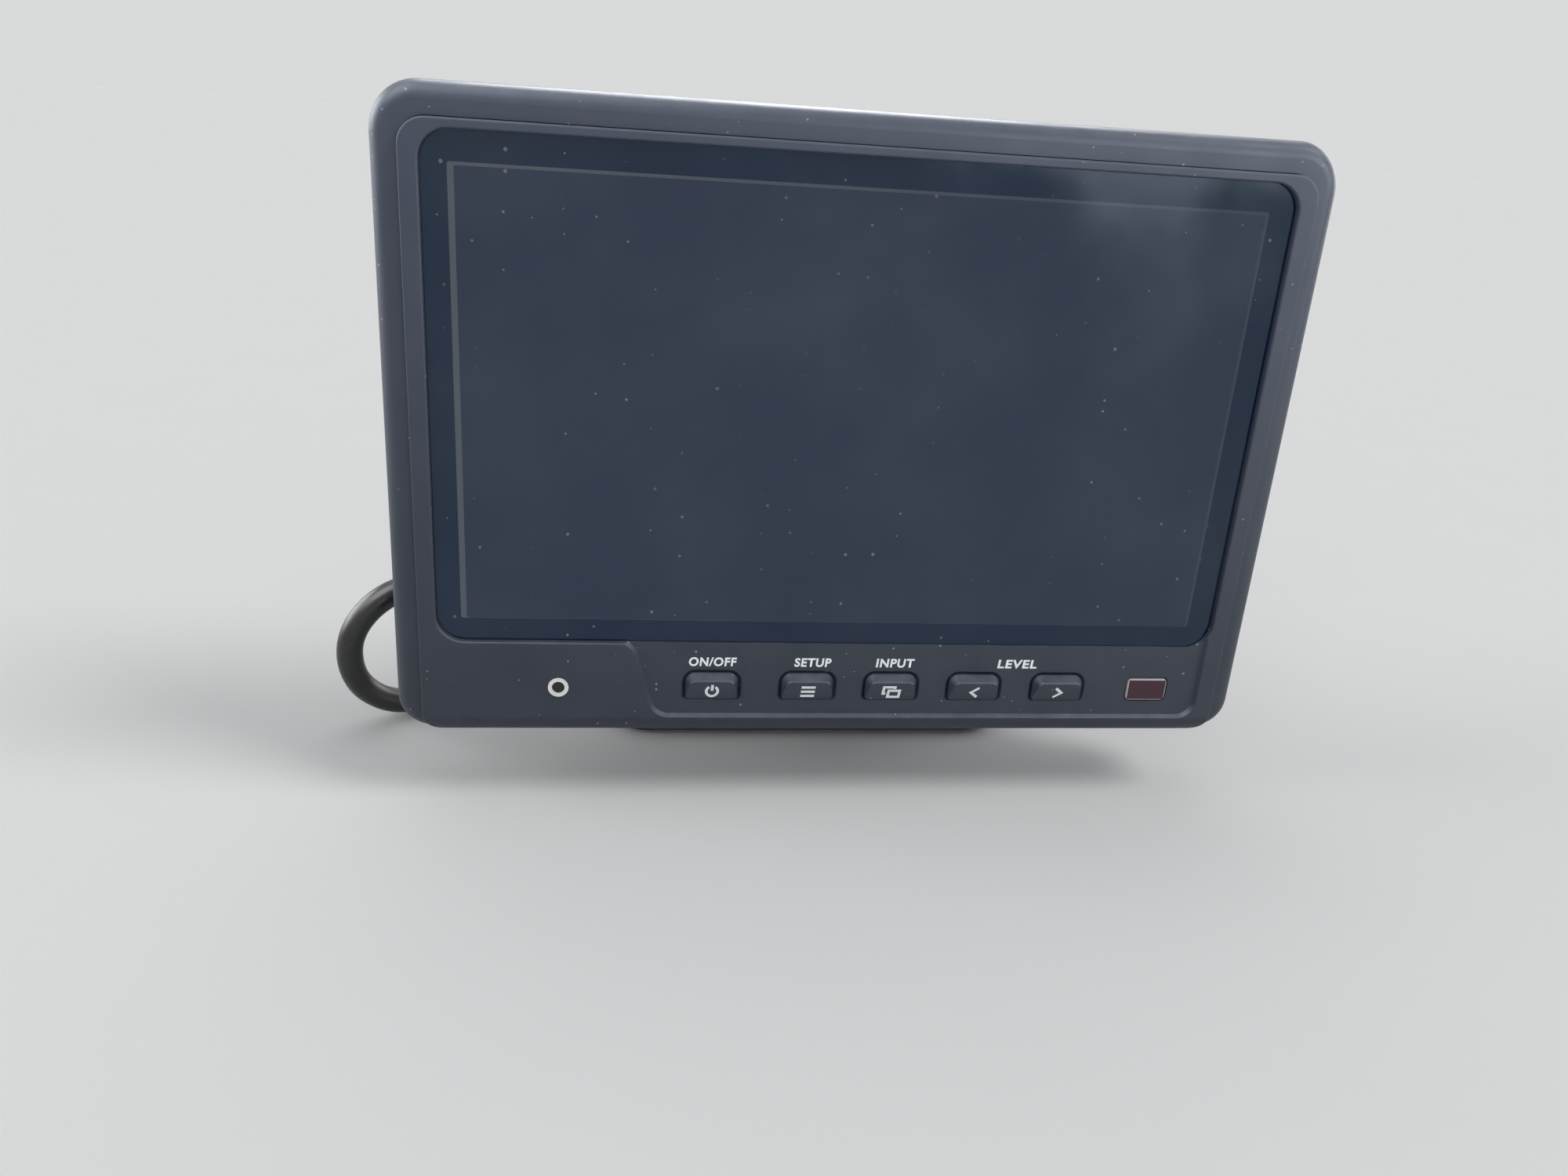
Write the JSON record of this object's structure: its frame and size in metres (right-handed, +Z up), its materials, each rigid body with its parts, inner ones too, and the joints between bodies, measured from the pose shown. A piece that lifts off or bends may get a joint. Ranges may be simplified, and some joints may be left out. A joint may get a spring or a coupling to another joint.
{
  "type": "rear-view camera monitor",
  "caption": "Dashboard monitor for a truck's rear-view camera, with a glass screen and keys, on a tilting stand with a screw-down base and a lead.",
  "frame": {"origin": "centre of the base's four-screw pattern, on the underside of the base", "axes": "+X to the viewer's right along the screen's width, the screen faces -Y, +Z up"},
  "size_m": [0.2002, 0.2002, 0.1416],
  "materials": {
    "bezel_plastic": "fine satin moulded texture, dark charcoal",
    "housing_plastic": "fine satin moulded texture, dark charcoal",
    "cover_glass": "gloss, black border printed behind",
    "display_panel": "dark screen, switched off",
    "circuit_board": "green solder mask",
    "speaker": "black",
    "infrared_filter": "dark red filter with a clear rim",
    "sensor_ring": "white",
    "sensor_lens": "black lens",
    "keys": "satin, white symbols",
    "bracket_metal": "cast, black powder coat",
    "base_metal": "steel plate, black powder coat",
    "pad_foam": "black foam tape",
    "hardware_steel": "zinc plated",
    "knob_plastic": "black, moulded",
    "lead_rubber": "smooth black jacket with a soft shine",
    "connector_metal": "nickel plated",
    "connector_insert": "black insert with contacts"
  },
  "bodies": {
    "stand": {"base_plate": "base_metal", "base_pad": "pad_foam", "stand_post": "bracket_metal", "tilt_bolt": "hardware_steel", "left_washer": "hardware_steel", "right_washer": "hardware_steel", "lock_nut": "hardware_steel", "clamp_knob": "knob_plastic", "lead": "lead_rubber", "lead_coil": "lead_rubber", "lead_tail": "lead_rubber", "connector_grip": "lead_rubber", "connector_shell": "connector_metal", "connector_contacts": "connector_insert"},
    "monitor": {"front_bezel": "bezel_plastic", "rear_housing": "housing_plastic", "cover_glass": "cover_glass", "display_panel": "display_panel", "circuit_board": "circuit_board", "speaker": "speaker", "infrared_window": "infrared_filter", "light_sensor_ring": "sensor_ring", "light_sensor_lens": "sensor_lens", "button_power": "keys", "button_menu": "keys", "button_source": "keys", "button_down": "keys", "button_up": "keys", "mount_socket": "bracket_metal", "slide_plate": "bracket_metal", "cable_boot": "lead_rubber"}
  },
  "joints": [
    {"name": "screen_tilt", "type": "hinge", "parent": "stand", "child": "monitor", "pos_m": [0, -0.017, 0.068], "axis": [-1, 0, 0], "range_deg": [-10, 30]}
  ]
}
